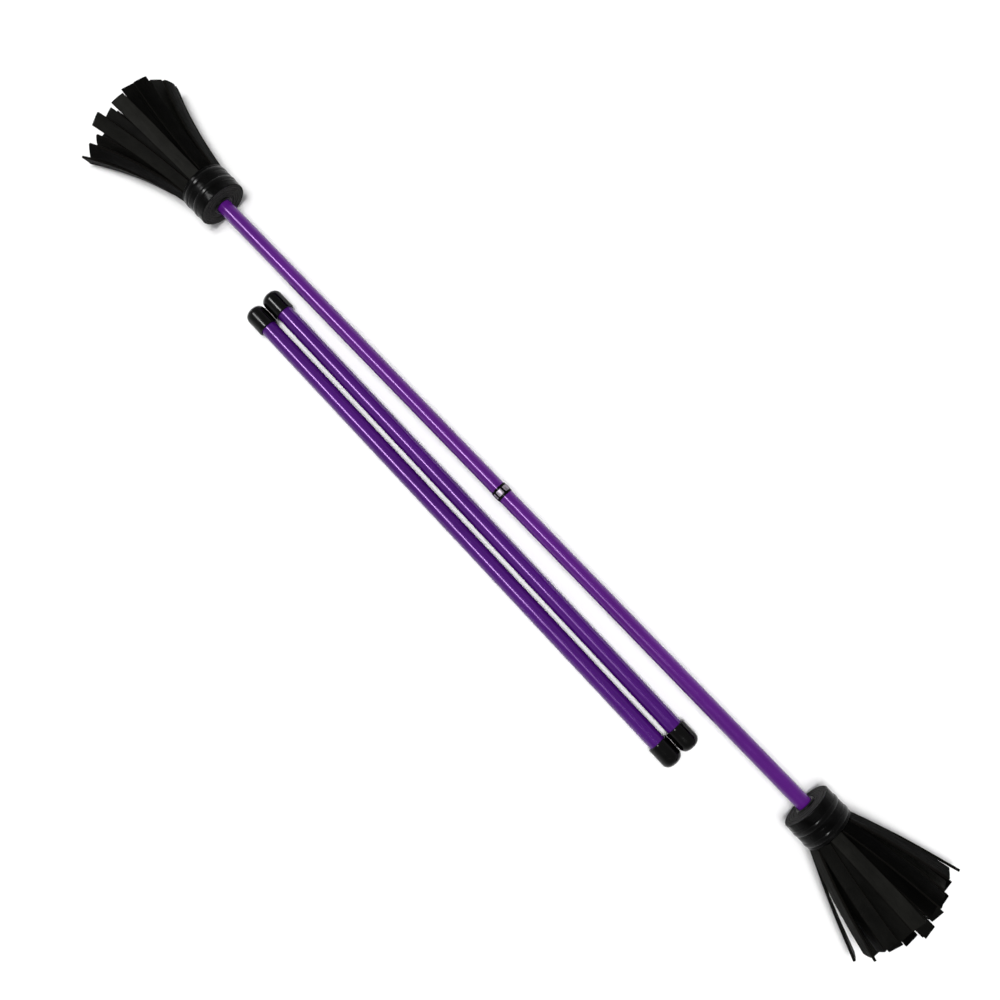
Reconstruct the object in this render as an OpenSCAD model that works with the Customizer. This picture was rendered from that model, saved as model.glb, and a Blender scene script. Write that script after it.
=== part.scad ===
// Devil stick set: a flower stick with a wound leather tassel at each end, and its two hand sticks,
// lying side by side on a flat surface. Millimetres, +Z up, +X along the flower stick.
// The origin is on the surface, at the middle of the set's box.

/* [Flower stick] */
// Length from tassel tip to tassel tip
stick_length = 650; // [620:5:700]
// Distance between the two hub faces
grip_length = 464; // [440:2:480]
// Outer diameter of the silicone grip sleeve
sleeve_d = 9; // [8:0.5:10]
// Diameter of the fibreglass core rod
core_d = 7; // [5:0.5:7.5]
// Width of the black tape round the balance point
tape_w = 6.2; // [4:0.2:12]
// Width of the silver foil on that tape
foil_w = 4; // [2:0.2:10]

/* [Hubs] */
// Diameter over the binding rings
hub_d = 30.6; // [30:0.2:34]
// Length of the wound leather header
hub_length = 17; // [14:1:24]
// Outer diameter of the rubber cap on each rod end
rod_cap_d = 11.8; // [11:0.1:11.8]
// How far the cap's lip stands out of the hub face
cap_lip = 1.2; // [0.4:0.1:2]

/* [Tassels] */
// Thickness of the leather
leather_t = 1.5; // [1.2:0.1:1.5]
// Width of one strip
strip_w = 7.4; // [6:0.1:7.4]
// How far the side strips of the left tassel splay out
left_spread = 22; // [14:0.5:24]
// How far the side strips of the right tassel splay out
right_spread = 18.5; // [14:0.5:24]
// How far the top strips rise
rise = 6; // [2:0.5:8]
// How far the side strips sag
sag = 5; // [2:0.5:6]

/* [Hand sticks] */
// Length over the end caps
hand_length = 350; // [300:10:420]
// Outer diameter of the silicone sleeve
hand_sleeve_d = 10; // [9:0.5:11]
// Diameter of the fibreglass rod
hand_rod_d = 8; // [6:0.5:8.5]
// Outer diameter of the end caps
hand_cap_d = 12.4; // [12:0.1:13]
// Length of the end caps
hand_cap_length = 14.8; // [12:0.2:20]
// Distance from the flower stick's axis to the near hand stick's axis
hand_offset = 19.7; // [14:0.1:40]
// Small angle at which the hand sticks lie
hand_skew = 0.7; // [0:0.1:2]
// How far the hand sticks lie left of the middle
hand_shift = 3; // [0:0.5:10]

/* [Hidden] */
$fn = 64;

SIDES = [-1, 1];                       // -1 is the left end, 1 the right end
SIDE_NAMES = ["left", "right"];
HAND_NAMES = ["near", "far"];

cover_t = 0.3;                         // glossy cover round the leather header
binding_h = 0.3;                       // how far a binding ring stands out of the cover
binding_w = 2.6;
outer_ring = 3;                        // centre of the outer binding ring, back from the neck
inner_ring = 10.5;
roll_r = hub_d / 2 - binding_h - cover_t;
cap_r = rod_cap_d / 2;
cap_floor = 2;                         // closed end of every rubber cap
cap_past_neck = 3;                     // the rod cap ends just past the header
cap_lip_chamfer = 0.4;
rod_cap_corner = 2;
hand_cap_corner = 3.2;
header_turns = 5;                      // turns of the rolled-up header, with a seam between each two
turn_seam = 0.04;
hand_gap = 0.3;                        // between the two hand sticks' caps
tape_t = 0.25;
foil_t = 0.15;
axis_z = hub_d / 2;
face_x = grip_length / 2;
neck_x = face_x + hub_length;
root_gap = 0.3;                        // a strip that swings starts this far past the header
rod_end_x = neck_x + cap_past_neck - cap_floor;

// Strips: concentric layers of flat strips, from the outside in
layer_count = [11, 9, 7, 5];
layer_start = [90, -90, 90, -90];      // angle of each layer's first strip
layer_share = [1, 0.85, 0.62, 0.4];    // how much of the splay, rise and sag each layer has
layer_clearance = 0.12;
outer_inset = 0.25;                    // the outer strips lie this far inside the header's skin
settle_level = 2.3;                    // height of one layer of strips on the surface
mover_clearance = 0.4;                 // a strip that swings stays this far above the surface
shorter_at_side = 12;                  // the side strips end this much before the longest ones
shorter_on_top = 13;                   // so do the top ones, which ride up over the rest
flat_from = 0.36;                      // a low strip lies flat from this share of its length on
section_shares = [0, flat_from / 3, flat_from * 2 / 3, flat_from, 0.7, 1];
lobe_count = 9;                        // swinging strip groups on one tassel
top_lobe = 5;
lobe_step = 360 / layer_count[0];
under_lobe = [[], [2], [3], [4], [], [5], [6], [7], []];   // second-layer strips that swing with each lobe
floor_outer = [5, 6];                  // strips of the two outer layers that stay on the surface
floor_inner = [0, 1, 8];

function lerp(a, b, u) = a + (b - a) * u;
function spread(side) = side < 0 ? left_spread : right_spread;

// Each layer's strips just clear the corners of the layer outside it
function layer_r(k) =
    k == 0 ? roll_r - outer_inset - leather_t / 2
           : sqrt(pow(layer_r(k - 1) - leather_t / 2, 2) - pow(strip_w / 2, 2)) - leather_t / 2 - layer_clearance;
function layer_angle(k, i) = layer_start[k] + i * 360 / layer_count[k];
function lobe_angle(i) = 90 + (i - top_lobe) * lobe_step;

// Where a strip at angle a of layer k ends, across and up
function tip_y(side, k, a) = (layer_r(k) + spread(side) * layer_share[k]) * cos(a);
function free_tip_z(k, a) =
    axis_z - sag * layer_share[k] * (1 - sin(a)) + (layer_r(k) + rise * layer_share[k]) * sin(a);
function floor_z(k, lift) = leather_t / 2 + k * settle_level + lift;
function lies_down(k, a, lift) = free_tip_z(k, a) < floor_z(k, lift);
function strip_end(a) =
    stick_length / 2 - shorter_at_side * pow(abs(cos(a)), 3) - shorter_on_top * max(0, sin(a));

// One cross-section of a strip at share u of its length: its centre and the angle of its outer face
function strip_section(side, k, a, gap, lift, u) =
    let (low = lies_down(k, a, lift),
         v = low ? min(1, u / flat_from) : u,
         x = lerp(neck_x + gap, strip_end(a), u),
         y = lerp(layer_r(k) * cos(a), tip_y(side, k, a), u),
         z = lerp(axis_z + layer_r(k) * sin(a), max(free_tip_z(k, a), floor_z(k, lift)), v),
         down = a > 90 ? 270 : -90,
         face = low ? lerp(a, down, v) : a)
    [side * x, y, z, face];
function section_corners(c) =
    [for (q = [[-1, -1], [1, -1], [1, 1], [-1, 1]])
        [c[0],
         c[1] - q[0] * strip_w / 2 * sin(c[3]) + q[1] * leather_t / 2 * cos(c[3]),
         c[2] + q[0] * strip_w / 2 * cos(c[3]) + q[1] * leather_t / 2 * sin(c[3])]];

// The box of the set across the stick, which puts the origin in its middle
widest_side = max(left_spread, right_spread);
side_angle = 90 - 3 * lobe_step;
tassel_reach = (layer_r(0) + widest_side + leather_t / 2) * cos(side_angle) - strip_w / 2 * sin(side_angle);
hand_reach = hand_offset + hand_cap_d + hand_gap + hand_cap_d / 2 + hand_length / 2 * sin(hand_skew);
axis_y = (hand_reach - tassel_reach) / 2;

module along_stick() translate([0, axis_y, axis_z]) rotate([0, 90, 0]) children();
module at_end(side) along_stick() mirror([0, 0, side < 0 ? 1 : 0]) children();

module tube(r_in, r_out, from, to)
    translate([0, 0, from])
    linear_extrude(to - from)
    difference() {
        circle(r_out);
        circle(r_in);
    }

// A push-on rubber cap: open at z 0, closed and rounded at z length
module rubber_cap(r_in, r_out, length, corner)
    rotate_extrude()
    polygon(concat(
        [[r_in, 0], [r_out - cap_lip_chamfer, 0], [r_out, cap_lip_chamfer]],
        [for (a = [0:15:90]) [r_out - corner + corner * cos(a), length - corner + corner * sin(a)]],
        [[0, length], [0, length - cap_floor], [r_in, length - cap_floor]]));

// ---- flower stick ----

module core_rod() color([0.86, 0.84, 0.74]) along_stick()
    cylinder(d = core_d, h = 2 * rod_end_x, center = true);

module grip_sleeve() color([0.33, 0.12, 0.55]) along_stick()
    tube(core_d / 2, sleeve_d / 2, -rod_end_x, rod_end_x);

module centre_tape() color([0.05, 0.05, 0.05]) along_stick()
    tube(sleeve_d / 2, sleeve_d / 2 + tape_t, -tape_w / 2, tape_w / 2);

module centre_foil() color([0.75, 0.75, 0.76]) along_stick()
    tube(sleeve_d / 2 + tape_t, sleeve_d / 2 + tape_t + foil_t, -foil_w / 2, foil_w / 2);

module rod_cap(side) color([0.06, 0.06, 0.06]) at_end(side)
    translate([0, 0, face_x - cap_lip])
    rubber_cap(sleeve_d / 2, cap_r, cap_lip + hub_length + cap_past_neck, rod_cap_corner);

module fringe_header(side) color([0.1, 0.1, 0.09]) at_end(side) {
    pitch = (roll_r - cap_r) / header_turns;
    for (k = [1:header_turns])
        tube(cap_r + (k - 1) * pitch, cap_r + k * pitch - (k < header_turns ? turn_seam : 0), face_x, neck_x);
}

module hub_cover(side) color([0.04, 0.04, 0.04]) at_end(side)
    tube(roll_r, roll_r + cover_t, face_x, neck_x);

module binding_ring(side, from_neck) color([0.03, 0.03, 0.03]) at_end(side)
    translate([0, 0, neck_x - from_neck])
    rotate_extrude()
    polygon([for (a = [0:20:180]) [roll_r + cover_t + binding_h * sin(a), binding_w / 2 * cos(a)]]);

// ---- tassels ----

// A strip is four-sided, with a section at each share of its length. Its twisted sides are split
// along opposite diagonals left and right of the stick, so that the two flanks mirror each other.
module strip(side, k, a, gap = 0, lift = 0) {
    sections = [for (u = section_shares) strip_section(side, k, a, gap, lift, u)];
    points = [for (c = sections) each section_corners(c)];
    last = 4 * (len(sections) - 1);
    walls = [for (s = [0:len(sections) - 2], q = [0:3])
        let (b = 4 * s, n = (q + 1) % 4)
        each a > 90 ? [[b + q, b + 4 + q, b + n], [b + n, b + 4 + q, b + 4 + n]]
                    : [[b + q, b + 4 + n, b + n], [b + q, b + 4 + q, b + 4 + n]]];
    ends = [[0, 1, 2], [0, 2, 3], [last, last + 2, last + 1], [last, last + 3, last + 2]];
    faces = concat(walls, ends);
    translate([0, axis_y, 0])
        polyhedron(points, side > 0 ? faces : [for (f = faces) [f[0], f[2], f[1]]]);
}

// One group of strips that swings outward at the neck: an outer strip and the one under it
module swing_strip(side, i) color([0.09, 0.09, 0.08]) {
    low = i == 1 || i == lobe_count;
    strip(side, 0, lobe_angle(i), root_gap, low ? mover_clearance : 0);
    for (j = under_lobe[i - 1])
        strip(side, 1, layer_angle(1, j), root_gap);
}

// The strips under the hub, which lie on the surface
module floor_strips(side) color([0.08, 0.08, 0.07]) {
    for (j = floor_outer)
        strip(side, 0, layer_angle(0, j));
    for (j = floor_inner)
        strip(side, 1, layer_angle(1, j));
}

// The two inner layers
module core_strips(side) color([0.07, 0.07, 0.06])
    for (k = [2, 3], j = [0:layer_count[k] - 1])
        strip(side, k, layer_angle(k, j));

// ---- hand sticks ----

module at_hand(h) translate([-hand_shift, axis_y, hand_cap_d / 2])
    rotate([0, 0, -hand_skew])
    translate([0, -hand_offset - h * (hand_cap_d + hand_gap), 0])
    rotate([0, 90, 0]) children();

module hand_rod(h) color([0.86, 0.84, 0.74]) at_hand(h)
    cylinder(d = hand_rod_d, h = hand_length - 2 * cap_floor, center = true);

module hand_sleeve(h) color([0.33, 0.12, 0.55]) at_hand(h)
    tube(hand_rod_d / 2, hand_sleeve_d / 2, -hand_length / 2 + cap_floor, hand_length / 2 - cap_floor);

module hand_cap(h, side) color([0.04, 0.04, 0.04]) at_hand(h)
    mirror([0, 0, side < 0 ? 1 : 0])
    translate([0, 0, hand_length / 2 - hand_cap_length])
    rubber_cap(hand_sleeve_d / 2, hand_cap_d / 2, hand_cap_length, hand_cap_corner);

core_rod();
grip_sleeve();
centre_tape();
centre_foil();
for (e = [0, 1]) {
    rod_cap(SIDES[e]);
    fringe_header(SIDES[e]);
    hub_cover(SIDES[e]);
    binding_ring(SIDES[e], inner_ring);
    binding_ring(SIDES[e], outer_ring);
    core_strips(SIDES[e]);
    floor_strips(SIDES[e]);
    for (i = [1:lobe_count])
        swing_strip(SIDES[e], i);
}
for (h = [0, 1]) {
    hand_rod(h);
    hand_sleeve(h);
    for (e = [0, 1])
        hand_cap(h, SIDES[e]);
}
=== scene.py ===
"""Looks for a devil stick set: a flower stick with leather tassels, and its two hand sticks.

Every new piece is a surface on a grid: rows run along the piece and columns run round it.
Lengths are metres; MM turns the drawing's millimetres into metres.
"""

import math

import bpy
import numpy as np
from mathutils import Matrix, Vector


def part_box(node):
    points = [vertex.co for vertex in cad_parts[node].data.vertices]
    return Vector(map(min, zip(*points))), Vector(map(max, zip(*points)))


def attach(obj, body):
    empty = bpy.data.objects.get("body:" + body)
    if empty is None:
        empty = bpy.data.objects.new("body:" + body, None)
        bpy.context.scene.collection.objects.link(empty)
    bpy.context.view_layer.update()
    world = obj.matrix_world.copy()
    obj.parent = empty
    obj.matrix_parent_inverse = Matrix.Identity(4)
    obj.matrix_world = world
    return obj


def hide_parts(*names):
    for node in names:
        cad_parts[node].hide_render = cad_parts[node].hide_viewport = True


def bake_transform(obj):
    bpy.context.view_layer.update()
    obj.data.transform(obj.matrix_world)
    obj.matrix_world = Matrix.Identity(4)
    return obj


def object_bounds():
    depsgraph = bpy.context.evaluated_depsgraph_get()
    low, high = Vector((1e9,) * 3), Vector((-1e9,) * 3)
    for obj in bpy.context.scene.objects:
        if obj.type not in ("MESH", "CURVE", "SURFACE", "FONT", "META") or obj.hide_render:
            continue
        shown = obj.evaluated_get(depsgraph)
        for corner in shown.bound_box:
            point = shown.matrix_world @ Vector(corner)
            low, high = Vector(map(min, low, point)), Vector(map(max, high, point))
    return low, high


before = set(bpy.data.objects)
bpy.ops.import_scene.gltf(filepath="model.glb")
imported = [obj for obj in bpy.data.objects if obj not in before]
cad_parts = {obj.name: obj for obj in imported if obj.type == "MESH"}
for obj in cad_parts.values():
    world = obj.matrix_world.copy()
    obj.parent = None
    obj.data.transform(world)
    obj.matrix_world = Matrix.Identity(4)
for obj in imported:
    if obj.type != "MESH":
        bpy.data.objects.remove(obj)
cad_low, cad_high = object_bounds()

MM = 0.001
SIDES = {"left": -1, "right": 1}
STICK = "flower_stick"

# ---- places and sizes from the frame ----

def node_radius(node):
    """Radius of a round node that lies level: half its height."""
    low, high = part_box(node)
    return (high.z - low.z) / 2


sleeve_low, sleeve_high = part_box("grip_sleeve")
AXIS = np.array([0.0, (sleeve_low.y + sleeve_high.y) / 2, (sleeve_low.z + sleeve_high.z) / 2])
SLEEVE_R = node_radius("grip_sleeve")
cover_low, cover_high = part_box("hub_cover_right")
FACE_X, NECK_X = cover_low.x, cover_high.x
COVER_R = node_radius("hub_cover_right")
rod_cap_low, rod_cap_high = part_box("rod_cap_right")
ROD_CAP_R = node_radius("rod_cap_right")
tape_low, tape_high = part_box("centre_tape")
foil_low, foil_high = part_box("centre_foil")

# ---- camera ----

CAMERA_HEIGHT = 567 * MM     # above the stick's axis
CAMERA_ALONG = 63 * MM       # from the balance point towards the right tassel
AIM_OFFSET = (2.4 * MM, -3.7 * MM)   # of the point it looks at, from the balance point
STICK_SLOPE = math.radians(45.91)   # how steeply the stick runs down to the right in the view
LENS = 37.2


def add_camera():
    """Looks down at the set, turned until +X runs down to the right at STICK_SLOPE."""
    place = Vector((CAMERA_ALONG, AXIS[1], AXIS[2] + CAMERA_HEIGHT))
    aim = Vector((AIM_OFFSET[0], AXIS[1] + AIM_OFFSET[1], AXIS[2]))
    forward = (aim - place).normalized()
    along = Vector((1, 0, 0))
    along = (along - along.dot(forward) * forward).normalized()
    across = along.cross(forward)
    right = along * math.cos(STICK_SLOPE) + across * math.sin(STICK_SLOPE)
    up = across * math.cos(STICK_SLOPE) - along * math.sin(STICK_SLOPE)
    data = bpy.data.cameras.new("camera")
    data.lens, data.sensor_width = LENS, 36
    camera = bpy.data.objects.new("camera", data)
    bpy.context.scene.collection.objects.link(camera)
    turn = Matrix((right, up, -forward)).transposed().to_4x4()
    camera.matrix_world = Matrix.Translation(place) @ turn
    bpy.context.scene.camera = camera


# ---- meshes from grids ----

def patch(points, along, around, closed_rows=False, **marks):
    """A grid of points (rows, columns, 3) whose columns close on themselves. Rows either close too, like a
    ring, or end in a fan to the row's middle. along and around are distances in metres for the UV map, and
    marks are values per point, kept as attributes."""
    return dict(points=np.asarray(points), along=np.asarray(along), around=np.asarray(around),
                closed_rows=closed_rows, marks=marks)


def fan(points, p, row, flip):
    """Closes one end of a patch: triangles from the row to its middle, which is added as a new point. Returns
    the points with the middle, the triangles, and their UV corners."""
    columns = p["points"].shape[1]
    k = np.arange(columns)
    first, second = row * columns + k, row * columns + (k + 1) % columns
    here, there = p["around"][k], p["around"][k + 1]
    if flip:
        first, second, here, there = second, first, there, here
    faces = np.stack([first, second, np.full(columns, len(points))], -1)
    across = np.stack([here, there, np.full(columns, p["around"].mean())], -1)
    corners = np.stack([np.full_like(across, p["along"][row]), across], -1)
    return np.vstack([points, p["points"][row].mean(0)]), faces, corners


def patch_faces(p):
    """Points of a patch, its faces and their UV corners, as arrays: first the quads, then a fan at each open
    end. They are turned outwards: a closed surface whose signed volume, the sum of corner . (corner x corner)
    / 6 over its triangles, is negative is reversed."""
    rows, columns = p["points"].shape[:2]
    last = rows if p["closed_rows"] else rows - 1
    i, j = np.meshgrid(np.arange(last), np.arange(columns), indexing="ij")
    corner_rows = np.stack([i, i, i + 1, i + 1], -1).reshape(-1, 4)
    corner_columns = np.stack([j, j + 1, j + 1, j], -1).reshape(-1, 4)
    points = p["points"].reshape(-1, 3)
    faces = [(corner_rows % rows) * columns + corner_columns % columns]
    corners = [np.stack([p["along"][corner_rows], p["around"][corner_columns]], -1)]
    if not p["closed_rows"]:
        for row, flip in ((0, True), (rows - 1, False)):
            points, triangles, uv = fan(points, p, row, flip)
            faces.append(triangles)
            corners.append(uv)
    volume = 0.0
    for group in faces:
        for k in range(1, group.shape[1] - 1):
            a, b, c = points[group[:, 0]], points[group[:, k]], points[group[:, k + 1]]
            volume += (a * np.cross(b, c)).sum() / 6
    if volume < 0:
        faces = [group[:, ::-1] for group in faces]
        corners = [group[:, ::-1] for group in corners]
    return points, faces, corners


def make_piece(name, patches, material):
    """One smooth object from one or more patches, with a UV map in metres and the patches' marks."""
    points, faces, corners, marks = [], [], [], {}
    start = 0
    for p in patches:
        own_points, own_faces, own_corners = patch_faces(p)
        points.append(own_points)
        faces += [group + start for group in own_faces]
        corners += own_corners
        for key, value in p["marks"].items():
            given = np.broadcast_to(value, p["points"].shape[:2]).ravel()
            middles = [] if p["closed_rows"] else [given[0], given[-1]]
            marks.setdefault(key, []).append(np.concatenate([given, middles]))
        start += len(own_points)
    mesh = bpy.data.meshes.new(name)
    mesh.from_pydata(np.vstack(points).tolist(), [], [face for group in faces for face in group.tolist()])
    layer = mesh.uv_layers.new(name="surface")
    layer.data.foreach_set("uv", np.concatenate([group.ravel() for group in corners]).astype(np.float32))
    for key, values in marks.items():
        attribute = mesh.attributes.new(key, "FLOAT", "POINT")
        attribute.data.foreach_set("value", np.concatenate(values).astype(np.float32))
    mesh.polygons.foreach_set("use_smooth", np.ones(len(mesh.polygons), bool))
    mesh.materials.append(material)
    mesh.update()
    piece = bpy.data.objects.new(name, mesh)
    bpy.context.scene.collection.objects.link(piece)
    return piece


def distance_along(x, r):
    """Distance run along a profile, from the lengths of its steps."""
    return np.concatenate([[0], np.cumsum(np.hypot(np.diff(x), np.diff(r)))])


def turned(centre, direction, x, r, columns, closed_rows=False, shape=None, **marks):
    """A profile (x along the axis, r from it) carried round the axis through centre. shape(x, r, turn), if
    given, returns the grids of x and r with their own relief, where turn is the angle round the axis."""
    centre, direction = np.asarray(centre, float), np.asarray(direction, float)
    direction = direction / np.linalg.norm(direction)
    side = np.cross([0, 0, 1], direction)
    side /= np.linalg.norm(side)
    up = np.cross(direction, side)
    turn = np.linspace(0, 2 * np.pi, columns, endpoint=False)
    grid_x, grid_t = np.meshgrid(x, turn, indexing="ij")
    grid_r = np.repeat(np.asarray(r)[:, None], columns, 1)
    if shape:
        grid_x, grid_r = shape(grid_x, grid_r, grid_t)
    points = (centre + grid_x[..., None] * direction
              + grid_r[..., None] * (np.cos(grid_t)[..., None] * side + np.sin(grid_t)[..., None] * up))
    along = distance_along(x, r)
    if closed_rows:
        along = np.append(along, along[-1] + math.hypot(x[0] - x[-1], r[0] - r[-1]))
    around = np.linspace(0, 2 * np.pi * np.max(r), columns + 1)
    return patch(points, along, around, closed_rows, **marks)


def arc(middle, radius, start, stop, count):
    """Points (x, r) of an arc round middle, its angle in degrees measured from +x towards +r."""
    angle = np.radians(np.linspace(start, stop, count))
    return middle[0] + radius * np.cos(angle), middle[1] + radius * np.sin(angle)


def join(*runs):
    """Joins stretches of a profile, each an (x, r) pair."""
    return (np.concatenate([np.atleast_1d(run[0]) for run in runs]),
            np.concatenate([np.atleast_1d(run[1]) for run in runs]))


def smooth(v):
    """Smooth step from 0 to 1: 3v^2 - 2v^3, held at its ends."""
    v = np.clip(v, 0, 1)
    return v * v * (3 - 2 * v)


def ripple(t, rng, terms, longest):
    """A quiet wandering line: the mean of sin(2 pi t k / longest + a random phase) / k over the terms k."""
    total = np.zeros_like(t)
    for k in range(1, terms + 1):
        total += np.sin(2 * np.pi * t * k / longest + rng.uniform(0, 2 * np.pi)) / k
    return total / terms


# ---- finishes ----

class Finish:
    """A material with short calls for the nodes used here. Every finish ends in one principled shader."""

    def __init__(self, name, coordinates="Object"):
        self.material = bpy.data.materials.new(name)
        self.material.use_nodes = True
        self.nodes, self.links = self.material.node_tree.nodes, self.material.node_tree.links
        self.shader = self.nodes["Principled BSDF"]
        if coordinates == "UV":
            self.place = self.nodes.new("ShaderNodeUVMap").outputs["UV"]
        else:
            self.place = self.nodes.new("ShaderNodeTexCoord").outputs["Object"]

    def plug(self, source, socket):
        """Links a node's output to a socket, or sets the socket to a constant."""
        if isinstance(source, bpy.types.NodeSocket):
            self.links.new(source, socket)
        else:
            socket.default_value = source

    def stretched(self, scale):
        """The coordinates times a scale along each direction."""
        mapping = self.nodes.new("ShaderNodeMapping")
        self.links.new(self.place, mapping.inputs["Vector"])
        mapping.inputs["Scale"].default_value = scale
        return mapping.outputs["Vector"]

    def noise(self, scale, detail=3, stretch=(1, 1, 1), roughness=0.5):
        """Soft noise from 0 to 1, about scale lumps to the metre."""
        found = self.nodes.new("ShaderNodeTexNoise")
        self.links.new(self.stretched(stretch), found.inputs["Vector"])
        found.inputs["Scale"].default_value = scale
        found.inputs["Detail"].default_value = detail
        found.inputs["Roughness"].default_value = roughness
        return found.outputs["Fac"]

    def cells(self, scale):
        """Pebbles like leather grain: the distance to the nearest edge between cells."""
        found = self.nodes.new("ShaderNodeTexVoronoi")
        found.feature = "DISTANCE_TO_EDGE"
        self.links.new(self.stretched((1, 1, 1)), found.inputs["Vector"])
        found.inputs["Scale"].default_value = scale
        return found.outputs["Distance"]

    def mark(self, name):
        """A mark kept on the piece's own points."""
        found = self.nodes.new("ShaderNodeAttribute")
        found.attribute_name = name
        return found.outputs["Fac"]

    def spread(self, value, low, high, start=0.0, stop=1.0):
        """value from start..stop carried to low..high."""
        found = self.nodes.new("ShaderNodeMapRange")
        for name, given in (("Value", value), ("From Min", start), ("From Max", stop),
                            ("To Min", low), ("To Max", high)):
            self.plug(given, found.inputs[name])
        return found.outputs["Result"]

    def sums(self, operation, a, b):
        """Arithmetic on two values, each a socket or a number."""
        found = self.nodes.new("ShaderNodeMath")
        found.operation = operation
        self.plug(a, found.inputs[0])
        self.plug(b, found.inputs[1])
        return found.outputs["Value"]

    def blend(self, share, a, b):
        """Colour a where share is 0 and colour b where it is 1."""
        found = self.nodes.new("ShaderNodeMix")
        found.data_type = "RGBA"
        self.plug(share, found.inputs["Factor"])
        for given, socket in ((a, found.inputs[6]), (b, found.inputs[7])):
            self.plug(given if isinstance(given, bpy.types.NodeSocket) else (*given, 1), socket)
        return found.outputs[2]

    def relief(self, height, depth, under=None):
        """A bump of that depth in metres, on top of another."""
        found = self.nodes.new("ShaderNodeBump")
        found.inputs["Distance"].default_value = depth
        self.plug(height, found.inputs["Height"])
        if under is not None:
            self.plug(under, found.inputs["Normal"])
        return found.outputs["Normal"]

    def finish(self, colour, roughness, normal, **constants):
        """Plugs in the colour, roughness and bump, and sets the constants on the shader's own sockets."""
        self.plug(colour, self.shader.inputs["Base Color"])
        self.plug(roughness, self.shader.inputs["Roughness"])
        self.plug(normal, self.shader.inputs["Normal"])
        for name, value in constants.items():
            self.shader.inputs[name.replace("_", " ")].default_value = value
        return self.material


def silicone(name, deep, pale):
    """Purple silicone tube: a soft sheen under a thin gloss, faint drawing lines, specks and cloudy colour
    between deep and pale."""
    f = Finish(name)
    cloud = f.noise(60, 4, (0.25, 1, 1))
    colour = f.blend(f.spread(cloud, 0, 1, 0.3, 0.7), deep, pale)
    speck = f.spread(f.noise(2600, 2), 0, 1, 0.66, 0.72)
    colour = f.blend(f.sums("MULTIPLY", speck, 0.16), colour, (0.26, 0.16, 0.36))
    lines = f.noise(900, 2, (0.015, 1, 1))
    rough = f.spread(f.noise(350, 3, (0.3, 1, 1)), 0.15, 0.25, 0.3, 0.7)
    normal = f.relief(lines, 0.012 * MM, f.relief(f.noise(180, 3, (0.4, 1, 1)), 0.05 * MM))
    return f.finish(colour, rough, normal, Specular_IOR_Level=0.6, Specular_Tint=(0.78, 0.42, 1, 1),
                    Subsurface_Weight=0.06, Subsurface_Radius=(0.002, 0.0006, 0.003), Subsurface_Scale=0.5,
                    Coat_Weight=0.12, Coat_Roughness=0.12)


def strip_leather():
    """Black dyed leather. The grain side has a fine pebble with creases along the strip and a satin finish;
    where the mark cut is 1 the edge is fibrous and matt. The mark tone makes a strip greyer: partly its own
    grey by chance, partly painted light on the strips on top. A noise varies it along the strip, and scuffed
    patches show more where tone is higher, so on top they carry painted light too."""
    f = Finish("black_leather", "UV")
    cut = f.mark("cut")
    pebble = f.cells(1500)
    crease = f.noise(420, 3, (0.2, 1, 1), 0.6)
    # Painted light and real grey: the mark tone holds a strip's chance grey and the painted light on the
    # strips on top. This noise varies both along the strip and places scuffed patches, which grow with tone.
    wear_and_painted_light = f.noise(90, 5, (0.5, 1, 1), 0.65)
    greyed = f.sums("MULTIPLY", f.mark("tone"), f.spread(wear_and_painted_light, 0.7, 1.15, 0.35, 0.65))
    dyed = f.blend(greyed, (0.0001, 0.0001, 0.0001), (0.0160, 0.0160, 0.0142))
    worn_and_painted_light = f.sums("MULTIPLY", f.spread(wear_and_painted_light, 0, 0.55, 0.45, 0.8), f.spread(f.mark("tone"), 0.15, 1))
    dyed = f.blend(worn_and_painted_light, dyed, (0.0130, 0.0126, 0.0112))
    fibre = f.noise(2600, 4, (0.15, 1, 1), 0.7)
    edge = f.blend(fibre, (0.0008, 0.0008, 0.0007), (0.0100, 0.0092, 0.0080))
    colour = f.blend(cut, dyed, edge)
    satin = f.spread(crease, 0.42, 0.62, 0.3, 0.7)
    satin = f.sums("ADD", satin, f.sums("MULTIPLY", f.mark("tone"), -0.08))
    rough = f.spread(cut, satin, 0.9)
    grain = f.relief(pebble, 0.14 * MM, f.relief(crease, 0.4 * MM))
    normal = f.relief(f.sums("MULTIPLY", fibre, cut), 0.25 * MM, grain)
    return f.finish(colour, rough, normal, Specular_IOR_Level=0.02)


def wound_leather():
    """The rolled-up header: cut edges of leather, dark dusty grey, with fibres and small pits."""
    f = Finish("wound_leather")
    dust = f.noise(260, 5, (1, 1, 1), 0.7)
    fibre = f.noise(2400, 3, (1, 1, 1), 0.7)
    colour = f.blend(f.spread(dust, 0, 1, 0.3, 0.7), (0.003, 0.0028, 0.0026), (0.016, 0.0155, 0.015))
    colour = f.blend(f.spread(fibre, 0, 0.5, 0.5, 0.75), colour, (0.050, 0.047, 0.044))
    colour = f.blend(f.mark("seam"), colour, (0.003, 0.003, 0.003))
    rough = f.spread(dust, 0.72, 0.95)
    normal = f.relief(fibre, 0.12 * MM, f.relief(dust, 0.3 * MM))
    return f.finish(colour, rough, normal, Specular_IOR_Level=0.3)


def glossy_tape():
    """Black vinyl tape: smooth and shiny, with faint stretch lines and patches dulled by handling."""
    f = Finish("black_tape")
    stretch = f.noise(500, 3, (1, 0.12, 0.12))
    handled = f.noise(140, 4)
    dulled = f.spread(handled, 0, 1, 0.35, 0.75)
    colour = f.blend(dulled, (0.0008, 0.0008, 0.0008), (0.003, 0.003, 0.003))
    rough = f.spread(handled, 0.15, 0.32, 0.3, 0.7)
    normal = f.relief(stretch, 0.03 * MM, f.relief(f.noise(230, 3), 0.12 * MM))
    return f.finish(colour, rough, normal, Specular_IOR_Level=0.06)


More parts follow.
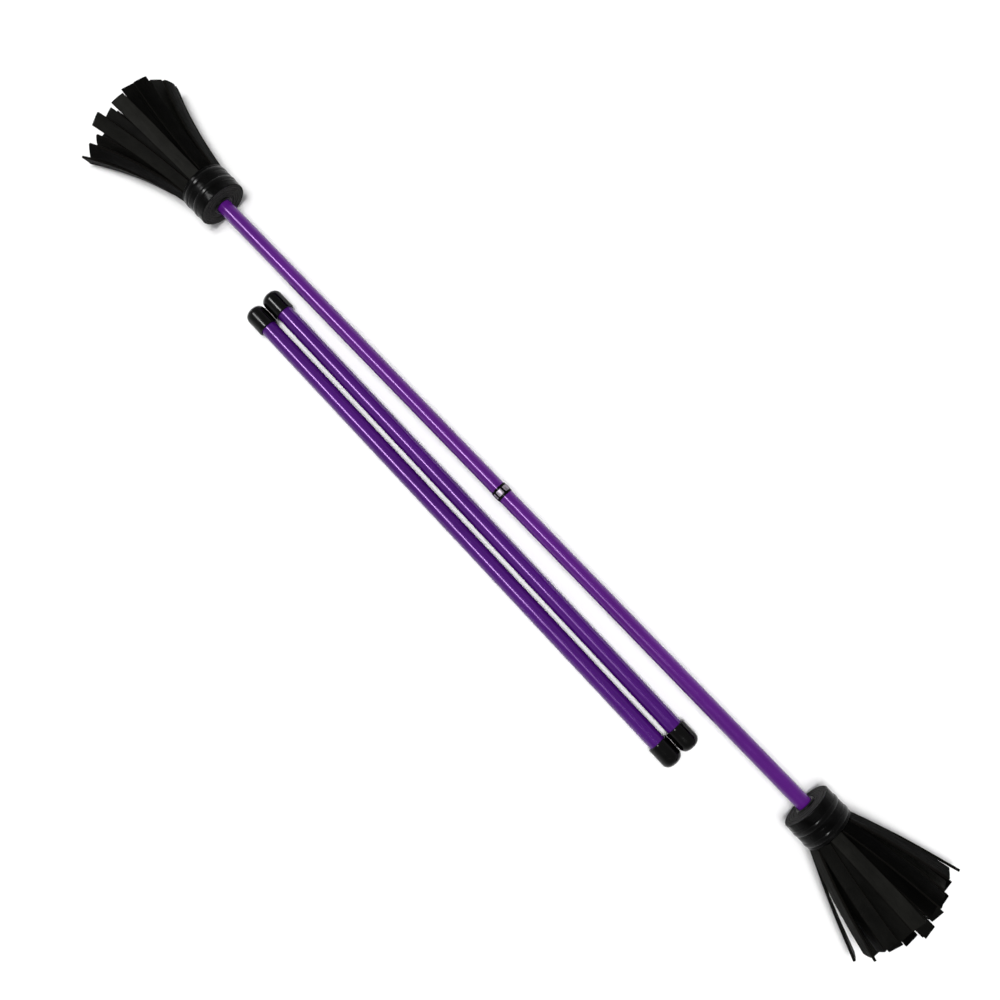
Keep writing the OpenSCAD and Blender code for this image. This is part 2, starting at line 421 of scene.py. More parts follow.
def glossy_rubber(name, shine, strength):
    """Dipped black rubber: deep black, a faint orange peel, and lint-like dull specks."""
    f = Finish(name)
    peel = f.noise(700, 2)
    speck = f.spread(f.noise(1900, 3), 0, 1, 0.66, 0.74)
    colour = f.blend(f.sums("MULTIPLY", speck, 0.5), (0.0006, 0.0006, 0.0006), (0.014, 0.0135, 0.013))
    rough = f.spread(f.noise(160, 4), shine, shine + 0.16, 0.3, 0.7)
    normal = f.relief(peel, 0.03 * MM)
    return f.finish(colour, rough, normal, Specular_IOR_Level=strength)


def silver_foil():
    """Brushed silver foil with small creases. Its colour is darker in cloudy patches, a painted reflection of
    dark surroundings.
    """
    f = Finish("silver_foil")
    brushed = f.noise(2200, 3, (1, 0.08, 0.08))
    painted_reflection = f.noise(700, 4)
    # Painted reflection: cloudy patches of darker colour stand in for dark surroundings reflected in the
    # foil.
    colour = f.blend(f.spread(painted_reflection, 0, 1, 0.35, 0.75), (0.34, 0.30, 0.35), (0.15, 0.13, 0.16))
    rough = f.spread(brushed, 0.34, 0.56, 0.3, 0.7)
    normal = f.relief(painted_reflection, 0.05 * MM, f.relief(brushed, 0.01 * MM))
    return f.finish(colour, rough, normal, Metallic=0.85)


def fibreglass():
    """Pale fibreglass rod with long glass strands in resin."""
    f = Finish("fibreglass")
    strands = f.noise(1200, 3, (0.01, 1, 1))
    colour = f.blend(strands, (0.52, 0.50, 0.38), (0.74, 0.72, 0.60))
    return f.finish(colour, f.spread(strands, 0.3, 0.5), f.relief(strands, 0.02 * MM))


def pale_floor():
    """Smooth white paper with a barely visible tooth."""
    f = Finish("pale_floor")
    tooth = f.noise(400, 3)
    colour = f.blend(f.noise(3, 3), (0.90, 0.90, 0.90), (0.92, 0.92, 0.92))
    return f.finish(colour, f.spread(tooth, 0.85, 0.95), f.relief(tooth, 0.03 * MM), Specular_IOR_Level=0.2)


# ---- flower stick: grip, tape and hubs ----

SLEEVE_STEP = 2.5 * MM       # between the rings of points along a sleeve
SLEEVE_WALL = 1 * MM


def sleeve(name, centre, direction, half_length, inner_r, outer_r, material, seed, body, node):
    """Silicone tube: a straight profile whose radius wanders along it, and whose section is very slightly
    oval, as cos(2 turn), by an amount that wanders too."""
    rng = np.random.default_rng(seed)
    count = int(half_length * 2 / SLEEVE_STEP)
    x = np.linspace(-half_length, half_length, count)
    wander = 0.016 * MM * ripple(x, rng, 6, 120 * MM)
    x, r = join((x, outer_r + wander), (x[::-1], np.full(count, inner_r)))
    oval = 0.012 * MM * ripple(x, rng, 5, 90 * MM)

    def shape(gx, gr, gt):
        return gx, gr + oval[:, None] * np.cos(gt * 2 + 0.7)

    tube = turned(centre, direction, x, r, 96, True, shape)
    piece = make_piece(name, [tube], material)
    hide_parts(node)
    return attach(piece, body)


def balance_tape():
    """Black tape round the balance point: a low ring with rounded edges and one lapped end, a step in radius
    that runs out smoothly over a fifth of a turn."""
    low, high = tape_low.x, tape_high.x
    outer_r = node_radius("centre_tape")
    inner_r = SLEEVE_R - 0.05 * MM
    edge = 0.12 * MM
    lap_height, lap_turns = 0.1 * MM, 0.2
    start = arc((low + edge, outer_r - edge), edge, 180, 90, 5)
    stop = arc((high - edge, outer_r - edge), edge, 90, 0, 5)
    middle = np.linspace(low + edge, high - edge, 12)[1:-1]
    x, r = join((low, inner_r), start, (middle, np.full(10, outer_r)), stop, (high, inner_r))

    def shape(gx, gr, gt):
        lap = lap_height * (1 - smooth(gt / (2 * np.pi * lap_turns)))
        return gx, gr + lap * (gr > inner_r + edge / 2)

    ring = turned(AXIS, (1, 0, 0), x, r, 160, True, shape)
    piece = make_piece("balance_tape", [ring], TAPE)
    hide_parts("centre_tape")
    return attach(piece, STICK)


def foil_squares():
    """Silver foil round the middle of the tape, cut into six squares with the black tape between them. Each
    square is a shallow closed pillow bent to the tape's radius. Its outline is a rounded square, the cosine
    and sine of the turn raised to a small power, and it shrinks over the layers that crown it."""
    count, gap, first, thickness = 6, 1.3 * MM, 101, 0.16 * MM
    radius = node_radius("centre_foil")
    half_x = (foil_high.x - foil_low.x) / 2 - 0.3 * MM
    half_arc = (2 * np.pi * radius / count - gap) / 2
    squareness = 0.22
    shares = np.array([1.0, 1.0, 0.97, 0.9, 0.6, 0.25])[:, None]
    heights = np.array([-1.0, 0.4, 0.85, 1.0, 1.0, 1.0])[:, None]
    ring = np.linspace(0, 2 * np.pi, 48, endpoint=False)
    outline_x = np.sign(np.cos(ring)) * np.abs(np.cos(ring)) ** squareness * half_x
    outline_arc = np.sign(np.sin(ring)) * np.abs(np.sin(ring)) ** squareness * half_arc
    x = shares * outline_x
    r = radius - thickness + thickness * heights + 0 * x
    squares = []
    for k in range(count):
        turn = math.radians(first) + k * 2 * np.pi / count + shares * outline_arc / radius
        points = AXIS + np.stack([x, r * np.cos(turn), r * np.sin(turn)], -1)
        squares.append(patch(points, np.arange(6) * 0.5 * MM, np.linspace(0, 8 * half_x, 49)))
    piece = make_piece("foil_squares", squares, FOIL)
    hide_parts("centre_foil")
    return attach(piece, STICK)


def cap_profile(inner_r, outer_r, length, dome, floor):
    """Profile of a push-on cap from the pole of its outside, over its domed end, down its wall, round its
    rolled lip and back up the inside. The dome is a rounded square: at angle t the radius is R sin(t)^p and
    the height dome cos(t)^p with p = 0.8. The wall is drawn in a little between the dome and the lip."""
    lip = (outer_r - inner_r) / 2
    t = np.radians(np.linspace(0.05, 90, 24))
    dome_x, dome_r = length - dome + dome * np.cos(t) ** 0.8, outer_r * np.sin(t) ** 0.8
    wall_x = np.linspace(length - dome, lip, 14)[1:]
    wall_r = outer_r - 0.06 * MM * np.sin(np.pi * (wall_x - lip) / (length - dome - lip)) ** 2
    lip_x, lip_r = arc((lip, inner_r + lip), lip, 90, 270, 9)
    inside_x = np.linspace(lip, length - floor, 6)
    inside_r = np.full(6, inner_r)
    close_x, close_r = np.full(3, length - floor), inner_r * np.array([0.7, 0.35, 0.02])
    return join((dome_x, dome_r), (wall_x, wall_r), (lip_x[1:], lip_r[1:]), (inside_x[1:], inside_r[1:]),
                (close_x, close_r))


def rod_cap(side):
    """Rubber cap on the rod's end, whose lip shows at the hub's face."""
    sign = SIDES[side]
    length = rod_cap_high.x - rod_cap_low.x
    x, r = cap_profile(SLEEVE_R, ROD_CAP_R, length, dome=2.5 * MM, floor=2 * MM)
    centre = AXIS + [sign * rod_cap_low.x, 0, 0]
    cap = turned(centre, (sign, 0, 0), x, r, 72)
    piece = make_piece(f"rod_cap_lip_{side}", [cap], RUBBER)
    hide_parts(f"rod_cap_{side}")
    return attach(piece, STICK)


TURN_PITCH = 1.62 * MM       # thickness of one turn of the rolled header
SEAM_WIDTH = 0.16 * MM
SEAM_DEPTH = 0.45 * MM


def header(side):
    """The fringe's uncut edge rolled up like a carpet. The end faces show it: a spiral seam where
    (r - inner) / pitch minus the share of a turn is whole, and each turn stands out by its own amount, which
    changes smoothly along the spiral."""
    sign = SIDES[side]
    inner_r, outer_r = ROD_CAP_R - 0.05 * MM, COVER_R - 0.3 * MM
    edge, face_rows, back_rows, columns = 0.5 * MM, 78, 40, 200
    face_r = np.linspace(inner_r, outer_r - edge, face_rows)
    rim_x, rim_r = arc((FACE_X + edge, outer_r - edge), edge, 180, 90, 6)
    back_r = np.linspace(outer_r, inner_r, back_rows)
    x, r = join((np.full(face_rows, FACE_X), face_r), (rim_x[1:], rim_r[1:]),
                (np.full(back_rows, NECK_X), back_r))
    on_face = np.concatenate([np.ones(face_rows), np.linspace(0.8, 0, 5), np.zeros(back_rows)])[:, None]
    start = 0.3 if sign > 0 else 2.6       # where the roll ends, round the axis
    turn = np.linspace(0, 2 * np.pi, columns, endpoint=False)[None] + start
    coil = (r[:, None] - inner_r) / TURN_PITCH - turn / (2 * np.pi)
    from_seam = np.abs(coil - np.round(coil)) * TURN_PITCH
    seam = np.exp(-(from_seam / SEAM_WIDTH) ** 2) * on_face
    run = turn + 2 * np.pi * np.floor(coil)
    stand = 0.14 * np.sin(1.37 * run) + 0.09 * np.sin(3.1 * run + 1) + 0.05 * np.sin(7.7 * run)
    crown = 1 - (2 * (coil - np.floor(coil)) - 1) ** 4

    def shape(gx, gr, gt):
        proud = (stand * crown * 0.9 + 0.15 * crown) * MM - SEAM_DEPTH * seam
        return gx - proud * on_face, gr

    roll = turned(AXIS, (sign, 0, 0), x, r, columns, True, shape, seam=seam)
    piece = make_piece(f"rolled_header_{side}", [roll], WOUND)
    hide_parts(f"fringe_header_{side}")
    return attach(piece, STICK)


LAP = 5.6 * MM               # width between the laps of the tape round a hub
PRESSED_WIDTH = 1.9 * MM     # how far from its middle a binding presses the tape flat


def hub_cover(side):
    """Vinyl tape wound tight round the header. Its laps run as a shallow helix, a small step in radius once
    per LAP, and it puckers in folds along the stick where it turns over the face's rim. The bindings press
    it smooth under them: exp(-(distance / PRESSED_WIDTH)^4)."""
    sign = SIDES[side]
    rng = np.random.default_rng(31 + sign)
    inner_r, outer_r, edge = COVER_R - 0.32 * MM, COVER_R - 0.06 * MM, 0.5 * MM
    front, back = FACE_X - 0.1 * MM, NECK_X - 0.3 * MM
    lip = arc((front + edge, outer_r - edge), edge, 200, 90, 8)
    wall_x = np.linspace(front + edge, back, 90)[1:]
    end = np.full(2, NECK_X), np.array([outer_r - 0.25 * MM, inner_r])
    inside_x = np.linspace(NECK_X, front + 1.5 * edge, 6)[1:]
    x, r = join(lip, (wall_x, np.full(89, outer_r)), end, (inside_x, np.full(5, inner_r)))
    outside = np.concatenate([np.ones(8 + 89), [0.5, 0], np.zeros(5)])[:, None]
    phases = rng.uniform(0, 2 * np.pi, 6)
    folds = (7, 11, 16, 23, 31, 41)
    bindings = []
    for which in ("inner", "outer"):
        low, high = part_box(f"{which}_binding_{side}")
        bindings.append(abs(low.x + high.x) / 2)

    def shape(gx, gr, gt):
        pressed = sum(np.exp(-((gx - at) / PRESSED_WIDTH) ** 4) for at in bindings)
        lap = (gx - FACE_X) / LAP + gt / (2 * np.pi)
        step = smooth((lap % 1) / 0.08) * (1 - (lap % 1))
        pucker = sum(np.sin(k * gt + phase) / k for k, phase in zip(folds, phases))
        near_rim = np.exp(-((gx - front) / (2.4 * MM)) ** 2)
        swell = np.sin(3 * gt + phases[0]) * np.sin((gx - FACE_X) / (4 * MM) + phases[1])
        relief = 0.11 * MM * step + 0.35 * MM * pucker * near_rim + 0.05 * MM * swell - 0.06 * MM
        return gx, gr + outside * (relief * (1 - pressed) - 0.14 * MM * pressed)

    cover = turned(AXIS, (sign, 0, 0), x, r, 288, True, shape)
    piece = make_piece(f"hub_wrap_{side}", [cover], TAPE)
    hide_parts(f"hub_cover_{side}")
    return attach(piece, STICK)


def binding(side, which):
    """A stretched rubber ring round the hub: a flattened round section, slightly uneven round the hub."""
    sign = SIDES[side]
    low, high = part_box(f"{which}_binding_{side}")
    middle, half = abs(low.x + high.x) / 2, abs(high.x - low.x) / 2
    bedded = 0.12 * MM                     # how far the ring's middle lies under the cover's surface
    proud = node_radius(f"{which}_binding_{side}") - COVER_R
    section = np.radians(np.linspace(0, 360, 28, endpoint=False))
    x = middle + half * np.cos(section)
    r = COVER_R - bedded + (proud + bedded) * np.sin(section)
    rng = np.random.default_rng(5 + sign + len(which))
    phase = rng.uniform(0, 2 * np.pi, 3)

    def shape(gx, gr, gt):
        lean = 0.12 * MM * (np.sin(gt + phase[0]) + 0.5 * np.sin(2 * gt + phase[1]))
        return gx + lean, gr + 0.02 * MM * (np.sin(5 * gt + phase[2]) - 1)

    ring = turned(AXIS, (sign, 0, 0), x, r, 192, True, shape)
    piece = make_piece(f"{which}_ring_{side}", [ring], RING)
    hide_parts(f"{which}_binding_{side}")
    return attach(piece, STICK)


# ---- tassels ----

LEATHER_T = 1.5 * MM
CORNER_R = 0.34 * MM         # along a strip's edges
NECK_WIDTH = 7.4 * MM        # a strip's width where it leaves the hub
TIP_WIDTH = 8.6 * MM
STRIP_RUN = 76 * MM          # about a strip's length, for the wander of its edges
STRIP_ROWS = 56
ROOT_GAP = 0.3 * MM          # between the hub and the strips that swing

# The strips leave the hub in four rings, the outermost first
LAYER_COUNT = (11, 9, 7, 5)
LAYER_START = (90, -90, 90, -90)                     # degrees from +Y, 90 on top
LAYER_SHARE = (1, 0.85, 0.62, 0.4)                   # of the splay
LAYER_LONGER = (0, 2 * MM, 0.5 * MM, -0.5 * MM)      # above the surface
LAYER_WIDENS = (1, 1, 0.5, 0.5)                      # share of the widening towards the tip
LAYER_GREY = (0.6, 0.35, 0.35, 0.35)                 # how grey a strip may be by chance
LAYER_CLEARANCE = 0.12 * MM
OUTER_INSET = 0.25 * MM

# How the two tassels lie, each in its own way
SPREAD = {"left": (22.5 * MM, 16 * MM), "right": (20 * MM, 17.5 * MM)}     # towards the hand sticks, away
FLARE = {"left": (0.55, 0.45), "right": (1.3, -0.3)}     # how the splay grows with u and with u squared
SHORTER_AT_SIDE = {"left": 12 * MM, "right": 15 * MM}
SHORTER_ON_TOP = {"left": 13 * MM, "right": 17 * MM}
CROWN_PAINTED_LIGHT = {"left": 0.9, "right": 0.6}                 # painted light: how much lighter grey the strips on top are made, as where the light falls on them
UNDER_CROWN_PAINTED_LIGHT = 0.3                                   # and the ring under them
CROWN_ANGLE, CROWN_SPAN = 100, 26
TIP_X = cad_high.x
RISE = 6 * MM                # of the top strips' tips
SAG = 5 * MM                 # of all tips, most at the bottom
SETTLE_LEVEL = 2.3 * MM      # between the rings where they lie on the surface
FLAT_FROM = 0.36             # share of its length by which a low strip is flat on the surface
MOVER_CLEARANCE = 0.4 * MM   # kept under a low strip that swings
PRESSED_HEIGHT = 0.03 * MM   # nothing reaches below this

LOBES = 9
TOP_LOBE = 5
LOBE_STEP = 360 / LAYER_COUNT[0]
UNDER_LOBE = {2: 2, 3: 3, 4: 4, 6: 5, 7: 6, 8: 7}        # which strip of the second ring swings with a group
FLOOR_OUTER = (5, 6)         # strips of the first and second rings that lie on the surface
FLOOR_INNER = (0, 1, 8)

# Strips that stray: how far outwards, sideways and longer their ends are, by tassel, group and ring
STRAYS = {
    ("left", 8, 0): (3.4 * MM, -1.5 * MM, 2 * MM),
    ("left", 8, 1): (1.5 * MM, 2 * MM, 2 * MM),
    ("left", 9, 0): (8.5 * MM, 0, 1 * MM),
    ("left", 6, 0): (0, -1.2 * MM, 0.5 * MM),
    ("left", 2, 0): (-1.5 * MM, 0, -4 * MM),
    ("left", 3, 0): (-1 * MM, -1 * MM, -2 * MM),
    ("right", 2, 0): (3.2 * MM, 1.2 * MM, 0.5 * MM),
    ("right", 2, 1): (2.4 * MM, 1 * MM, -6 * MM),
    ("right", 8, 0): (4.2 * MM, -1 * MM, -3 * MM),
    ("right", 8, 1): (2 * MM, 1 * MM, 1 * MM),
    ("right", 5, 0): (0, 1 * MM, -1 * MM),
}
NO_STRAY = (0, 0, 0)


def layer_radii():
    """Each ring of flat strips just clears the corners of the ring outside it: its outer face is at
    sqrt(inside^2 - half width^2), less a clearance."""
    radii = [COVER_R - 0.3 * MM - OUTER_INSET - LEATHER_T / 2]
    for _ in LAYER_COUNT[1:]:
        inside = radii[-1] - LEATHER_T / 2
        radii.append(math.sqrt(inside ** 2 - (NECK_WIDTH / 2) ** 2) - LEATHER_T / 2 - LAYER_CLEARANCE)
    return radii


LAYER_R = layer_radii()


def layer_angle(layer, i):
    """Where strip i of a ring leaves the hub, in degrees."""
    return LAYER_START[layer] + i * 360 / LAYER_COUNT[layer]


def strip_end(side, angle):
    """How far along the stick a strip's tip lies. It comes back by |cos|^3 at the sides and by sin on top."""
    a = math.radians(angle)
    return TIP_X - SHORTER_AT_SIDE[side] * abs(math.cos(a)) ** 3 - SHORTER_ON_TOP[side] * max(0, math.sin(a))


def strip_line(side, layer, angle, u, rng, gap, lift, stray):
    """A strip's middle line, at the shares u of its length, and the angle that its grain side faces there. It
    leaves the hub at its ring's radius and angle, and its distance from the axis grows by the spread times
    (b u + c u^2). A free strip rises or sags with its angle. A low one comes down to the surface by FLAT_FROM
    and lies flat, which the third result tells. Its end is thrown outwards and sideways by u^2, and a free
    strip has a wave of its own, a sine times u."""
    outward, sideways, longer = stray
    a = math.radians(angle)
    cos_a, sin_a = math.cos(a), math.sin(a)
    root_r, share = LAYER_R[layer], LAYER_SHARE[layer]
    flare = FLARE[side][0] * u + FLARE[side][1] * u ** 2
    longer = longer + rng.uniform(-3.4, 0.4) * MM + (LAYER_LONGER[layer] if sin_a > -0.5 else 0)
    x = NECK_X + gap + (strip_end(side, angle) + longer - NECK_X - gap) * u
    y = (root_r + SPREAD[side][0 if cos_a < 0 else 1] * share * flare) * cos_a
    root_z = AXIS[2] + root_r * sin_a
    free_z = AXIS[2] - SAG * share * (1 - sin_a) + (root_r + RISE * share) * sin_a
    floor_z = LEATHER_T / 2 + layer * SETTLE_LEVEL + lift
    low = free_z < floor_z
    slide = (rng.uniform(-0.9, 0.9) * MM + sideways) * u ** 2
    thrown = outward * u ** 2
    wave = rng.uniform(0.2, 0.55) * MM * np.sin(np.pi * (rng.uniform(0.9, 1.7) * u + rng.uniform(0, 1))) * u
    if low:
        settled = smooth(u / FLAT_FROM)
        face = a + (math.radians(270 if angle > 90 else -90) - a) * settled
        y = y + thrown * np.sign(cos_a) - 0.6 * slide * sin_a
        z = root_z + (floor_z - root_z) * settled
    else:
        face = np.full(len(u), a)
        y = y - slide * sin_a + (wave + thrown) * cos_a
        z = root_z + (free_z - root_z) * (0.35 * u + 0.65 * flare) + slide * cos_a + (wave + thrown) * sin_a
    return np.stack([SIDES[side] * x, AXIS[1] + y, z], -1), face, low


def strip_directions(line, face):
    """Unit vectors along, across and out of a strip's grain side, at each point of its middle line."""
    heading = np.gradient(line, axis=0)
    heading /= np.linalg.norm(heading, axis=1)[:, None]
    across = np.cross(heading, np.stack([np.zeros(len(face)), np.cos(face), np.sin(face)], -1))
    across /= np.linalg.norm(across, axis=1)[:, None]
    return heading, across, np.cross(across, heading)


def section_outline():
    """Outline of a strip's section: eight points across the grain side, six round each edge, whose corners
    are quarter circles, and eight across the flesh side. Each has its share of the straight half width, its
    offsets across and through the strip from there, and 1 where it is on a cut edge."""
    across = np.array([-1, -0.93, -0.6, -0.2, 0.2, 0.6, 0.93, 1])
    corner = np.radians([60, 30, 0])
    edge_p = CORNER_R * np.concatenate([np.cos(corner), np.cos(corner[::-1])])
    rise = LEATHER_T / 2 - CORNER_R + CORNER_R * np.sin(corner)
    edge_q = np.concatenate([rise, -rise[::-1]])
    share = np.concatenate([across, np.ones(6), across[::-1], -np.ones(6)])
    p = np.concatenate([np.zeros(8), edge_p, np.zeros(8), -edge_p[::-1]])
    q = np.concatenate([np.full(8, LEATHER_T / 2), edge_q, np.full(8, -LEATHER_T / 2), edge_q[::-1]])
    cut = np.concatenate([np.zeros(8), np.ones(6), np.zeros(8), np.ones(6)])
    return share, p, q, cut


def strip_sections(u, layer, loose, rng):
    """Grids of offsets across and through a strip. It widens smoothly from neck to tip, its edges wander a
    little, it is cupped by the square of the distance across, and it buckles more towards one edge."""
    share, p, q, _ = section_outline()
    width = NECK_WIDTH + (TIP_WIDTH - NECK_WIDTH) * LAYER_WIDENS[layer] * smooth(u * 1.2)[:, None]
    run = u * STRIP_RUN
    left = 0.10 * MM * ripple(run, rng, 8, 24 * MM)
    right = 0.10 * MM * ripple(run, rng, 8, 24 * MM)
    wander = np.where(share > 0, right[:, None], left[:, None]) * smooth(u * 6)[:, None]
    across = share * (width / 2 - CORNER_R) + p + share * wander
    cup = rng.uniform(-0.35, 0.55) * MM * loose * smooth(u * 1.5)
    buckle = 0.09 * MM * ripple(run, rng, 7, 40 * MM) * loose * smooth(u * 4)
    through = q - cup[:, None] * (across / (width / 2)) ** 2 + buckle[:, None] * (0.4 + share)
    return across, through


def closed_tip(points, heading):
    """Two more rows past the tip, each drawn in towards its middle, round off the cut end."""
    tip, middle = points[-1], points[-1].mean(0)
    rim = middle + (tip - middle) * [1, 0.985, 0.985] + heading[-1] * 0.14 * MM
    end = middle + (tip - middle) * 0.9 + heading[-1] * 0.20 * MM
    return np.concatenate([points, rim[None], end[None]])


def strip(side, layer, angle, seed, gap=0.0, lift=0.0, stray=NO_STRAY):
    """One leather strip as a patch: sections set along a middle line, turned about it by a twist that grows
    as u^1.5, with a tip cut a little slanted. A strip on the surface is less loose."""
    rng = np.random.default_rng(seed)
    u = np.append([0, 0.004], np.linspace(0.02, 1, STRIP_ROWS - 2))
    line, face, low = strip_line(side, layer, angle, u, rng, gap, lift, stray)
    heading, across, out = strip_directions(line, face)
    loose = 0.25 if low else 1.0
    twist = (math.radians(rng.uniform(-9, 9)) * loose * u ** 1.5)[:, None]
    across, out = across * np.cos(twist) + out * np.sin(twist), out * np.cos(twist) - across * np.sin(twist)
    grid_p, grid_q = strip_sections(u, layer, loose, rng)
    slant = math.tan(math.radians(rng.uniform(-9, 9))) * smooth((u - 0.85) / 0.15)[:, None] * grid_p
    points = (line[:, None] + grid_p[..., None] * across[:, None] + grid_q[..., None] * out[:, None]
              + slant[..., None] * heading[:, None])
    points = closed_tip(points, heading)
    points[..., 2] = np.maximum(points[..., 2], PRESSED_HEIGHT)

    _, _, q, cut = section_outline()
    length = strip_end(side, angle) - NECK_X
    along = np.append(u * length, [length + 0.2 * MM, length + 0.6 * MM])
    around = distance_along(grid_p[0], q)
    around = np.append(around, around[-1] + LEATHER_T / 3)
    shift = rng.uniform(0, 1, 2)
    cut_grid = np.vstack([np.repeat(cut[None], STRIP_ROWS, 0), np.ones((2, len(cut)))])
    # Painted light: strips near the top of the outer two rings are made lighter grey, as where the light
    # falls on them, and less so on the second ring. Tone is the greater of this and the strip's own grey by
    # chance.
    wear_and_painted_light = (CROWN_PAINTED_LIGHT[side], UNDER_CROWN_PAINTED_LIGHT, 0, 0)[layer]
    painted_top_light = wear_and_painted_light * math.exp(-((angle - CROWN_ANGLE) / CROWN_SPAN) ** 2)
    tone = max(LAYER_GREY[layer] * rng.uniform(0, 1) ** 2.2, painted_top_light)
    tone_grid = np.full(cut_grid.shape, tone)
    return patch(points, along + shift[0], around + shift[1], cut=cut_grid, tone=tone_grid)


def swinging_group(side, lobe):
    """The strips of one group that swings: an outer strip and the one under it."""
    sign = SIDES[side]
    key = 100 * (sign + 2)
    angle = 90 + (lobe - TOP_LOBE) * LOBE_STEP
    lift = MOVER_CLEARANCE if lobe in (1, LOBES) else 0
    stray = [STRAYS.get((side, lobe, layer), NO_STRAY) for layer in (0, 1)]
    strips = [strip(side, 0, angle, key + lobe, ROOT_GAP, lift, stray[0])]
    if lobe in UNDER_LOBE:
        angle = layer_angle(1, UNDER_LOBE[lobe])
        strips.append(strip(side, 1, angle, key + 20 + lobe, ROOT_GAP, 0, stray[1]))
    piece = make_piece(f"strips_{side}_{lobe}", strips, LEATHER)
    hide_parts(f"swing_strip_{side}_{lobe}")
    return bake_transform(piece)


def still_strips(side):
    """The strips on the surface under the hub, and the two inner rings, which stay with the stick."""
    key = 100 * (SIDES[side] + 2)
    floor = [strip(side, 0, layer_angle(0, i), key + 40 + i) for i in FLOOR_OUTER]
    floor += [strip(side, 1, layer_angle(1, i), key + 50 + i) for i in FLOOR_INNER]
    inner = [strip(side, layer, layer_angle(layer, i), key + 60 + 10 * layer + i)
             for layer in (2, 3) for i in range(LAYER_COUNT[layer])]
    for name, node, strips in (("floor", "floor_strips", floor), ("inner", "core_strips", inner)):
        piece = make_piece(f"{name}_strips_{side}_leather", strips, LEATHER)
        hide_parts(f"{node}_{side}")
        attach(piece, STICK)


# ---- hand sticks ----

def cap_ends(which, centre, direction):
    """How far from the hand stick's middle its right cap starts and ends."""
    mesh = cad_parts[f"hand_cap_{which}_right"].data
    points = np.empty(len(mesh.vertices) * 3)
    mesh.vertices.foreach_get("co", points)
    run = (points.reshape(-1, 3) - centre) @ direction
    return run.min(), run.max()


def hand_stick(which, seed):
    """One hand stick: its sleeve and its two dipped caps, along the line between its caps' boxes."""
    body = f"{which}_hand_stick"
    middles = {}
    for side in SIDES:
        cap_low, cap_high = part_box(f"hand_cap_{which}_{side}")
        middles[side] = (np.array(cap_low) + np.array(cap_high)) / 2
    direction = (middles["right"] - middles["left"]) * [1, 1, 0]
    direction /= np.linalg.norm(direction)
    centre = (middles["left"] + middles["right"]) / 2
    mouth, reach = cap_ends(which, centre, direction)
    sleeve_r = node_radius(f"hand_sleeve_{which}")
    rod_r = node_radius(f"hand_rod_{which}")
    cap_r = node_radius(f"hand_cap_{which}_right")
    sleeve(f"hand_grip_{which}", centre, direction, reach - 3 * MM, rod_r, sleeve_r, HAND_SILICONE, seed,
           body, f"hand_sleeve_{which}")
    x, r = cap_profile(sleeve_r, cap_r, reach - mouth, dome=4.9 * MM, floor=2 * MM)
    for side, sign in SIDES.items():
        cap = turned(centre + direction * sign * mouth, direction * sign, x, r, 96)
        piece = make_piece(f"end_cap_{which}_{side}", [cap], CAP)
        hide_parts(f"hand_cap_{which}_{side}")
        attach(piece, body)


# ---- studio ----

FLOOR_HALF = 30.0
FLOOR_DROP = 0.1 * MM        # keeps the paper clear of what lies on it
SOFTBOX_SIDE, SOFTBOX_HEIGHT, SOFTBOX_WIDTH = -0.24, 0.90, 0.16
SOFTBOX_TILT = -14           # degrees, towards the sticks
SOFTBOX_ROLL = 50            # degrees for each metre along the stick, towards the middle
SOFTBOXES = {"key": (-0.345, 0.79, 11.7), "key_tail": (0.13, 0.16, 0.5)}   # place along, length, power
LAMP_POWER, LAMP_WIDTH = 2.75, 24


def add_softbox(name, place, length, power):
    """A rectangular softbox above the sticks that shows only in reflections."""
    data = bpy.data.lights.new(name, "AREA")
    data.shape = "RECTANGLE"
    data.size = length
    data.size_y = SOFTBOX_WIDTH
    data.energy = power
    softbox = bpy.data.objects.new(name, data)
    bpy.context.scene.collection.objects.link(softbox)
    softbox.location = (place, SOFTBOX_SIDE, SOFTBOX_HEIGHT)
    softbox.rotation_euler = (math.radians(SOFTBOX_TILT), math.radians(place * SOFTBOX_ROLL), 0)
    softbox.visible_diffuse = False


def add_overhead_lamp():
    """A soft lamp straight above that lights the paper and isn't reflected."""
    data = bpy.data.lights.new("overhead", "SUN")
    data.energy = LAMP_POWER
    data.angle = math.radians(LAMP_WIDTH)
    lamp = bpy.data.objects.new("overhead", data)
    lamp.visible_glossy = False
    bpy.context.scene.collection.objects.link(lamp)


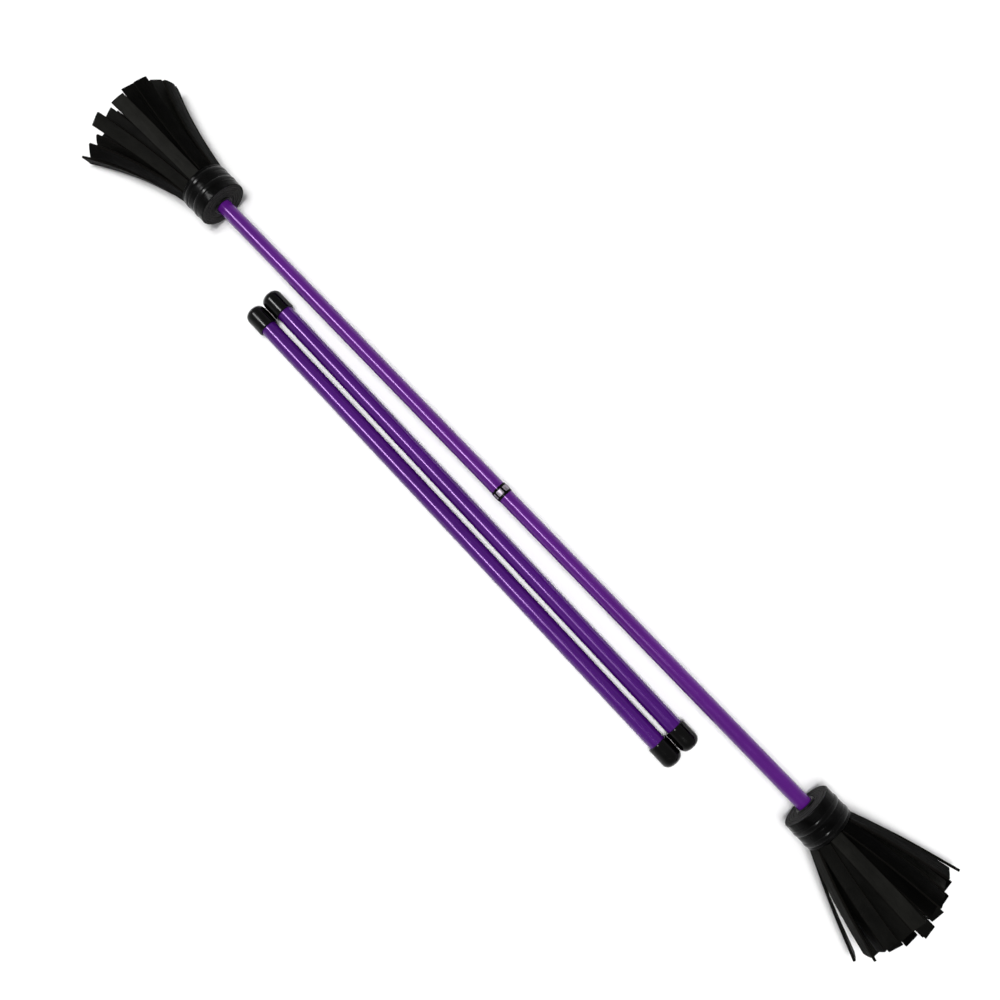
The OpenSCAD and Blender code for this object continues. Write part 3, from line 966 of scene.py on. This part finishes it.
def add_surround():
    """A white surround, bright at the horizon and dimmer overhead."""
    world = bpy.data.worlds.new("studio")
    world.use_nodes = True
    nodes, links = world.node_tree.nodes, world.node_tree.links
    direction = nodes.new("ShaderNodeTexCoord")
    parts = nodes.new("ShaderNodeSeparateXYZ")
    fade = nodes.new("ShaderNodeMapRange")
    links.new(direction.outputs["Generated"], parts.inputs["Vector"])
    links.new(parts.outputs["Z"], fade.inputs["Value"])
    for name, value in (("From Min", 0.0), ("From Max", 0.6), ("To Min", 0.95), ("To Max", 0.30)):
        fade.inputs[name].default_value = value
    nodes["Background"].inputs["Color"].default_value = (1, 1, 1, 1)
    links.new(fade.outputs["Result"], nodes["Background"].inputs["Strength"])
    bpy.context.scene.world = world


def add_studio():
    """White paper in a white surround. A long softbox over the left half, fading out over the right, draws
    the sheen, and a soft lamp from straight above lights the paper."""
    corners = [(x * FLOOR_HALF, y * FLOOR_HALF, 0) for x, y in ((-1, -1), (1, -1), (1, 1), (-1, 1))]
    mesh = bpy.data.meshes.new("studio_floor")
    mesh.from_pydata(corners, [], [(0, 1, 2, 3)])
    mesh.materials.append(pale_floor())
    floor = bpy.data.objects.new("studio_floor", mesh)
    floor.location.z = -FLOOR_DROP
    bpy.context.scene.collection.objects.link(floor)
    add_surround()
    for name, (place, length, power) in SOFTBOXES.items():
        add_softbox(name, place, length, power)
    add_overhead_lamp()
    bpy.context.scene.view_settings.view_transform = "Standard"


# ---- the set ----

STICK_SILICONE = silicone("purple_silicone", (0.062, 0.004, 0.135), (0.082, 0.008, 0.172))
HAND_SILICONE = silicone("deep_purple_silicone", (0.040, 0.002, 0.110), (0.056, 0.004, 0.144))
LEATHER = strip_leather()
WOUND = wound_leather()
TAPE = glossy_tape()
RUBBER = glossy_rubber("black_rubber", 0.26, 0.15)
CAP = glossy_rubber("dipped_rubber", 0.08, 0.22)
RING = glossy_rubber("binding_rubber", 0.12, 0.15)
FOIL = silver_foil()
FIBREGLASS = fibreglass()

add_camera()
add_studio()
sleeve("stick_grip", AXIS, (1, 0, 0), sleeve_high.x, SLEEVE_R - SLEEVE_WALL, SLEEVE_R, STICK_SILICONE, 3,
       STICK, "grip_sleeve")
balance_tape()
foil_squares()
for side in SIDES:
    rod_cap(side)
    header(side)
    hub_cover(side)
    binding(side, "inner")
    binding(side, "outer")
    still_strips(side)
    for lobe in range(1, LOBES + 1):
        swinging_group(side, lobe)
hand_stick("near", seed=11)
hand_stick("far", seed=17)
for node in ("core_rod", "hand_rod_near", "hand_rod_far"):
    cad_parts[node].data.materials.clear()
    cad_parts[node].data.materials.append(FIBREGLASS)
